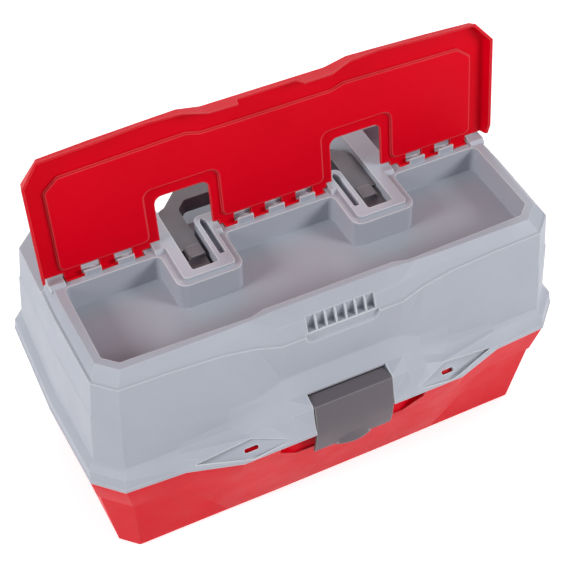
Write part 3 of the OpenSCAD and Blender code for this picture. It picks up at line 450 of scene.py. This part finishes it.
def tray_growth(length, depth, stations, rib_h, fittings, material):
    """Bead round a tray's rim at one point, and rows of rib pairs that start at the others.

    X of a point's size is 1 for the rim and 0 for a row, and Y says which way a row's ribs face.
    """
    g = Growth("tray_fittings")
    length, depth = g.size("Length", length), g.size("Depth", depth)
    front_r = g.size("Front corner radius", TRAY_FRONT_CORNER)
    rear_r = g.size("Rear corner radius", TRAY_REAR_CORNER)
    bead = g.size("Bead radius", fittings.bead)
    spacing = g.size("Slot spacing", fittings.slot_spacing)
    stations = g.size("Slots in a row", stations, "Int")
    slot = g.size("Slot width", fittings.slot_width)
    rib = g.size("Rib size", fittings.rib)
    rib_h = g.size("Rib height", rib_h)
    is_rim, faces, _ = g.split(g.own_size())

    frame = g.add("GeometryNodeCurvePrimitiveQuadrilateral", length, depth)
    front = g.math("LESS_THAN", g.split(g.place())["Y"], 0.0)
    more = g.math("MULTIPLY", front, g.math("SUBTRACT", front_r, rear_r))
    path = g.add("GeometryNodeFilletCurve", frame, mode="POLY",
                 Radius=g.math("ADD", rear_r, more), Count=CORNER_POINTS)
    ring = g.add("GeometryNodeCurvePrimitiveCircle", Resolution=BEAD_SIDES, Radius=bead)
    swept = g.add("GeometryNodeCurveToMesh", path, ring)
    rims = g.on_points(g.points, swept, Selection=g.math("GREATER_THAN", is_rim, 0.5))

    lift = g.vector(0.0, 0.0, g.math("DIVIDE", rib_h, 2.0))
    one = g.moved(g.box(g.vector(rib, rib, rib_h)), lift)
    half = g.math("DIVIDE", g.math("ADD", slot, rib), 2.0)
    pair = g.join(g.moved(one, g.vector(half, 0.0, 0.0)),
                  g.moved(one, g.vector(g.math("MULTIPLY", half, -1.0), 0.0, 0.0)))
    row = g.add("GeometryNodeMeshLine", Count=stations, Offset=g.vector(spacing, 0.0, 0.0))
    ribs = g.on_points(row, pair)
    inward = g.math("MULTIPLY", g.math("DIVIDE", rib, 2.0), faces)
    starts = g.add("GeometryNodeSetPosition", g.points, Offset=g.vector(0.0, inward, 0.0))
    rows = g.on_points(starts, ribs, Selection=g.math("LESS_THAN", is_rim, 0.5))
    g.finish(g.join(rims, rows), material)
    return g


def grow_rivets(node, material):
    """Domed rivets in place of a CAD node's plain ones, which are all alike."""
    boxes = solids_of(node)
    low, high = boxes[-1]
    two_heads = node != "base_rivets"
    head_r = (high.z - low.z) / 2
    head_t = TRAY_HEAD if two_heads else BASE_HEAD
    g = rivet_growth(high.x - low.x, head_r / HEAD_TO_SHANK, head_r, head_t, two_heads, material)
    inner = [((a.x if a.x > 0 else b.x), (a.y + b.y) / 2, (a.z + b.z) / 2) for a, b in boxes]
    piece = grown(g, f"{node}_steel", inner)
    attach(piece, body_of(node))
    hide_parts(node)


def grow_dividers(node, fittings, material):
    """Loose dividers with a lip, in place of a CAD node's plain plates."""
    boxes = solids_of(node)
    piece = grown(divider_growth(fittings.lip, material), f"{node}_moulded",
                  [(a + b) / 2 for a, b in boxes], [b - a for a, b in boxes])
    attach(piece, body_of(node))
    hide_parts(node)


def grow_fittings(node, fittings, material):
    """Rim bead and divider ribs of one tray."""
    low, high = solids_of(node)[0]
    wall, middle = fittings.tray_wall, (low.y + high.y) / 2
    stations = 2 * int((high.x - ROW_MARGIN) / fittings.slot_spacing) + 1
    g = tray_growth(high.x - low.x, high.y - low.y, stations, high.z - low.z - wall - RIB_DROP,
                    fittings, material)
    start = -(stations - 1) / 2 * fittings.slot_spacing
    rows = [(low.y + wall, 1), (middle - wall / 2, -1), (middle + wall / 2, 1), (high.y - wall, -1)]
    points = [(0, middle, high.z - fittings.bead)] + [(start, y, low.z + wall) for y, _ in rows]
    sizes = [(1, 0, 0)] + [(0, way, 0) for _, way in rows]
    piece = grown(g, f"{node}_fittings", points, sizes)
    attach(piece, body_of(node))


# ---------- materials ----------

# Grain is a share of the grain depth in the settings, and edge is a share of the painted highlight
# on outer edges.
PLASTICS = {
    "red": {"roughness": 0.38, "grain": 0.4, "gloss": 0.05, "edge": 0.18},
    "grey": {"roughness": 0.5, "grain": 1.0, "gloss": 0.3, "edge": 0.9},
    "dark": {"roughness": 0.52, "grain": 1.3, "gloss": 0.35, "edge": 0.35},
    "arm": {"roughness": 0.45, "grain": 1.0, "gloss": 0.5, "edge": 0.1},
    "tray": {"roughness": 0.3, "grain": 0.3, "gloss": 0.5, "edge": 0.5},
}
PLASTIC_IOR = 1.49
CLOUD_SIZE = 0.06           # patches that are a little lighter or darker
CLOUD_CHANGE = 0.03
SMUDGE_SIZE = 0.025         # patches that are a little duller or glossier
SMUDGE_DROP = 0.05
SMUDGE_RISE = 0.06
WAVE_SIZE = 0.035           # slow waves of a moulding's skin
WAVE_DEPTH = 0.00004
NOISE_RANGE = (0.3, 0.7)    # most of a noise's values lie in it
HIGHLIGHT_RANGE = (0.55, 0.96)   # shares of open rays over which the painted edge highlight fades
HIGHLIGHT_WHITE = 0.6            # how far the colour of the painted highlight on an edge goes towards white
EDGE_SAMPLES = 6
STEEL_STRETCH = (40.0, 2500.0, 2500.0)      # lines along a pin, and many more across it
STEEL_CHANGE = 0.08
STEEL_ROUGHNESS = (0.25, 0.42)
STEEL_DEPTH = 0.00001
STEEL_EDGE = 0.4            # edge radius of steel, as a share of the mouldings'


class Shader(Tree):
    """Helper that builds one material round a Principled surface."""

    def __init__(self, name):
        self.material = bpy.data.materials.new(name)
        self.material.use_nodes = True
        super().__init__(self.material.node_tree)
        self.tree.nodes.clear()
        self.surface = self.node("ShaderNodeBsdfPrincipled")
        self.node("ShaderNodeOutputMaterial", Surface=self.surface.outputs["BSDF"])
        self.place = self.node("ShaderNodeTexCoord").outputs["Object"]

    def noise(self, size, detail, roughness=0.5):
        """Noise whose pebbles are about `size` metres across."""
        node = self.node("ShaderNodeTexNoise", Vector=self.place, Scale=1.0 / size,
                         Detail=detail, Roughness=roughness)
        return node.outputs["Fac"]

    def spread(self, value, low, high, within=NOISE_RANGE):
        """Value within a range mapped to low..high."""
        node = self.node("ShaderNodeMapRange", Value=value, From_Min=within[0],
                         From_Max=within[1], To_Min=low, To_Max=high)
        return node.outputs["Result"]

    def mix(self, share, first, second):
        """Colour that goes from the first to the second with the share."""
        node = self.node("ShaderNodeMix", data_type="RGBA")
        # these are the factor, A, B and the result of the node's colour mode
        for index, value in ((0, share), (6, first), (7, second)):
            self.feed(node.inputs[index], value)
        return node.outputs[2]

    def tint(self, colour, value, change):
        """Colour that is lighter or darker by `change` with the value."""
        darker = (*[c * (1 - change) for c in colour], 1)
        lighter = (*[min(1, c * (1 + change)) for c in colour], 1)
        return self.mix(value, darker, lighter)

    def bump(self, height, depth, normal):
        node = self.node("ShaderNodeBump", Distance=depth, Height=height, Normal=normal)
        return node.outputs["Normal"]

    def edge_light(self, colour, base, reach, share):
        """The base colour with a painted highlight: lighter by `share` on outer edges, where light
        would glint off a moulding's skin.
        """
        open_rays = self.node("ShaderNodeAmbientOcclusion", inside=True, only_local=True,
                              samples=EDGE_SAMPLES, Distance=reach)
        # colour of the painted highlight: the plastic's colour pushed towards white
        edge = (*[c + (1 - c) * HIGHLIGHT_WHITE for c in colour], 1)
        return self.mix(self.spread(open_rays.outputs["AO"], share, 0.0, HIGHLIGHT_RANGE), base, edge)

    def rounded_edges(self, radius):
        return self.node("ShaderNodeBevel", samples=EDGE_SAMPLES, Radius=radius).outputs["Normal"]

    def surfaced(self, **inputs):
        """The material, with these inputs of its Principled surface fed."""
        for key, value in inputs.items():
            self.feed(self.surface.inputs[key.replace("_", " ")], value)
        return self.material


def moulded_plastic(name, colour, finish, roughness, grain, gloss, edge):
    """Injection-moulded plastic: rounded edges, fine pebbles, slow waves, uneven gloss and a
    painted highlight along outer edges.
    """
    s = Shader(name)
    skin = s.tint(colour, s.spread(s.noise(CLOUD_SIZE, detail=2.0), 0.0, 1.0), CLOUD_CHANGE)
    smudge = s.noise(SMUDGE_SIZE, detail=3.0, roughness=0.6)
    normal = s.rounded_edges(finish.edge_radius)
    normal = s.bump(s.noise(WAVE_SIZE, detail=1.0), WAVE_DEPTH, normal)
    normal = s.bump(s.noise(finish.grain, detail=1.0), finish.grain_depth * grain, normal)
    # the base colour is lightened along outer edges: a painted highlight
    return s.surfaced(
        Base_Color=s.edge_light(colour, skin, finish.edge_radius, finish.edge_light * edge),
        Roughness=s.spread(smudge, roughness - SMUDGE_DROP, roughness + SMUDGE_RISE),
        Normal=normal, IOR=PLASTIC_IOR, Specular_IOR_Level=gloss)


def drawn_steel(name, colour, finish):
    """Drawn steel wire: fine lines along X and a dull polish."""
    s = Shader(name)
    stretch = s.node("ShaderNodeMapping", Vector=s.place, Scale=STEEL_STRETCH)
    lines = s.node("ShaderNodeTexNoise", Vector=stretch.outputs["Vector"], Scale=1.0,
                   Detail=3.0).outputs["Fac"]
    edges = s.rounded_edges(finish.edge_radius * STEEL_EDGE)
    return s.surfaced(
        Base_Color=s.tint(colour, s.spread(lines, 0.0, 1.0), STEEL_CHANGE), Metallic=1.0,
        Roughness=s.spread(lines, *STEEL_ROUGHNESS), Normal=s.bump(lines, STEEL_DEPTH, edges))


def finish_of(scene, key):
    """Material of one of the box's finishes, made once."""
    name = "metal_steel" if key == "steel" else f"plastic_{key}"
    made = bpy.data.materials.get(name)
    if made:
        return made
    colour, finish = getattr(scene.tackle_colours, key), scene.tackle_finish
    if key == "steel":
        return drawn_steel(name, colour, finish)
    return moulded_plastic(name, colour, finish, **PLASTICS[key])


# ---------- operators ----------

class TACKLEBOX_OT_base(bpy.types.Operator):
    """Finish the red base"""
    bl_idname = "tacklebox.base"
    bl_label = "Base"

    def execute(self, context):
        dress("base", "base_tub", finish_of(context.scene, "red"), BASE_CREASE)
        return {"FINISHED"}


class TACKLEBOX_OT_lid(bpy.types.Operator):
    """Finish the grey lid with its compartment"""
    bl_idname = "tacklebox.lid"
    bl_label = "Lid"

    def execute(self, context):
        dress("lid", "lid_shell", finish_of(context.scene, "grey"))
        return {"FINISHED"}


class TACKLEBOX_OT_cover(bpy.types.Operator):
    """Finish the red compartment cover"""
    bl_idname = "tacklebox.cover"
    bl_label = "Cover"

    def execute(self, context):
        dress("cover", "compartment_cover", finish_of(context.scene, "red"))
        return {"FINISHED"}


class TACKLEBOX_OT_handle(bpy.types.Operator):
    """Finish the carrying handle"""
    bl_idname = "tacklebox.handle"
    bl_label = "Handle"

    def execute(self, context):
        dress("handle", "carrying_handle", finish_of(context.scene, "dark"))
        return {"FINISHED"}


class TACKLEBOX_OT_latch(bpy.types.Operator):
    """Finish the snap latch"""
    bl_idname = "tacklebox.latch"
    bl_label = "Latch"

    def execute(self, context):
        dress("latch", "snap_latch", finish_of(context.scene, "dark"))
        return {"FINISHED"}


class TACKLEBOX_OT_trays(bpy.types.Operator):
    """Finish the trays and their loose dividers"""
    bl_idname = "tacklebox.trays"
    bl_label = "Trays"

    def execute(self, context):
        scene = context.scene
        plastic = finish_of(scene, "tray")
        for level in ("low", "mid", "top"):
            dress(f"tray_{level}", f"tray_{level}_moulded", plastic)
            grow_fittings(f"tray_{level}", scene.tackle_trays, plastic)
            grow_dividers(f"dividers_{level}", scene.tackle_trays, plastic)
        return {"FINISHED"}


class TACKLEBOX_OT_arms(bpy.types.Operator):
    """Finish the link arms of the trays"""
    bl_idname = "tacklebox.arms"
    bl_label = "Link arms"

    def execute(self, context):
        for place in ("front", "rear"):
            for side in ("left", "right"):
                node = f"{place}_arm_{side}"
                dress(node, f"{node}_moulded", finish_of(context.scene, "arm"))
        return {"FINISHED"}


class TACKLEBOX_OT_pins(bpy.types.Operator):
    """Finish the steel pins and rivets"""
    bl_idname = "tacklebox.pins"
    bl_label = "Pins and rivets"

    def execute(self, context):
        steel = finish_of(context.scene, "steel")
        for node in ("latch_pin", "handle_pins", "hinge_pins"):
            dress(node, f"{node}_steel", steel)
        for node in ("base_rivets", "rivets_low", "rivets_mid", "rivets_top"):
            grow_rivets(node, steel)
        return {"FINISHED"}


class TACKLEBOX_OT_stage(bpy.types.Operator):
    """Set up the camera, the lamps, the white surroundings and the floor"""
    bl_idname = "tacklebox.stage"
    bl_label = "Stage"

    def execute(self, context):
        stage = context.scene.tackle_stage
        context.scene.view_settings.view_transform = "Standard"
        make_camera(stage)
        box_low, box_high = (Vector(corner) for corner in CAD_BOX)
        middle = (box_low + box_high) / 2
        for key, place in LAMP_PLACES.items():
            make_lamp(f"{key}_light", Vector(place), middle, getattr(stage, f"{key}_power"))
        make_surroundings(context.scene, stage.ambient)
        make_floor()
        return {"FINISHED"}


# ---------- stage ----------

PHOTO_PIXELS = 570          # width of the frame that focal_pixels is for
SENSOR = 36.0               # millimetres
LAMP_SIZE = 1.2
LAMP_PLACES = {"key": (-2.4, -0.3, 1.6), "fill": (1.9, -2.0, 1.6), "back": (0.7, 2.3, 1.6)}
WHITE = (1.0, 1.0, 1.0, 1.0)
FLOOR_REACH = 30.0
FLOOR_TONE = (0.85, 0.85, 0.85, 1.0)
FLOOR_ROUGHNESS = 0.9
FLOOR_GLOW = 0.5            # added where the floor is seen, so that it looks as white as the world


def make_camera(stage):
    """Camera that sees the box as the photo shows it."""
    data = bpy.data.cameras.new("camera")
    data.sensor_fit = "HORIZONTAL"
    data.sensor_width = SENSOR
    data.lens = stage.focal_pixels * SENSOR / PHOTO_PIXELS
    camera = linked("camera", data)
    camera.location = stage.camera_place
    camera.rotation_euler = stage.camera_turn
    bpy.context.scene.camera = camera


def make_lamp(name, place, target, power):
    """Round soft lamp that looks at the target."""
    data = bpy.data.lights.new(name, "AREA")
    data.shape = "DISK"
    data.size = LAMP_SIZE
    data.energy = power
    lamp = linked(name, data)
    lamp.location = place
    lamp.rotation_euler = (target - place).to_track_quat("-Z", "Y").to_euler()


def seen_white(tree):
    """1 where the camera, a reflection or a view through glass meets the surface, else 0."""
    path = tree.node("ShaderNodeLightPath").outputs
    total = path["Is Camera Ray"]
    for name in ("Is Glossy Ray", "Is Transmission Ray"):
        total = tree.node("ShaderNodeMath", total, path[name], operation="MAXIMUM").outputs[0]
    return total


def make_surroundings(scene, ambient):
    """World that looks white, and lights the object with the ambient strength only."""
    scene.world = bpy.data.worlds.new("studio")
    scene.world.use_nodes = True
    tree = Tree(scene.world.node_tree)
    strength = tree.node("ShaderNodeMapRange", Value=seen_white(tree), To_Min=ambient, To_Max=1.0)
    background = tree.tree.nodes["Background"]
    tree.feed(background.inputs["Color"], WHITE)
    tree.feed(background.inputs["Strength"], strength.outputs["Result"])


def make_floor():
    """White paper under the box, as far as the camera sees."""
    far = FLOOR_REACH
    mesh = bpy.data.meshes.new("floor")
    mesh.from_pydata([(-far, -far, 0), (far, -far, 0), (far, far, 0), (-far, far, 0)], [],
                     [(0, 1, 2, 3)])
    s = Shader("floor_paper")
    glow = s.node("ShaderNodeMath", seen_white(s), FLOOR_GLOW, operation="MULTIPLY")
    paper = s.surfaced(Base_Color=FLOOR_TONE, Roughness=FLOOR_ROUGHNESS, Emission_Color=WHITE,
                       Emission_Strength=glow.outputs[0])
    mesh.materials.append(paper)
    linked("floor", mesh)


# ---------- panel and registration ----------

OPERATORS = (TACKLEBOX_OT_base, TACKLEBOX_OT_lid, TACKLEBOX_OT_cover, TACKLEBOX_OT_handle,
             TACKLEBOX_OT_latch, TACKLEBOX_OT_trays, TACKLEBOX_OT_arms, TACKLEBOX_OT_pins,
             TACKLEBOX_OT_stage)
SETTINGS = {"tackle_colours": PlasticColours, "tackle_finish": SurfaceFinish,
            "tackle_trays": TrayFittings, "tackle_stage": StageSettings}


class TACKLEBOX_PT_panel(bpy.types.Panel):
    """Lists the tackle box's settings and the pieces that can be made"""
    bl_idname = "TACKLEBOX_PT_panel"
    bl_label = "Tackle box"
    bl_space_type = "VIEW_3D"
    bl_region_type = "UI"
    bl_category = "Tackle box"

    def draw(self, context):
        for name, group in SETTINGS.items():
            box = self.layout.box()
            for key in group.__annotations__:
                box.prop(getattr(context.scene, name), key)
        for operator in OPERATORS:
            self.layout.operator(operator.bl_idname)


CLASSES = (*SETTINGS.values(), *OPERATORS, TACKLEBOX_PT_panel)


def register():
    for cls in CLASSES:
        bpy.utils.register_class(cls)
    for name, group in SETTINGS.items():
        setattr(bpy.types.Scene, name, bpy.props.PointerProperty(type=group))


def unregister():
    for name in SETTINGS:
        delattr(bpy.types.Scene, name)
    for cls in reversed(CLASSES):
        bpy.utils.unregister_class(cls)


def main():
    register()
    bpy.ops.tacklebox.base()
    bpy.ops.tacklebox.lid()
    bpy.ops.tacklebox.cover()
    bpy.ops.tacklebox.handle()
    bpy.ops.tacklebox.latch()
    bpy.ops.tacklebox.trays()
    bpy.ops.tacklebox.arms()
    bpy.ops.tacklebox.pins()
    bpy.ops.tacklebox.stage()


if __name__ == "__main__":
    main()
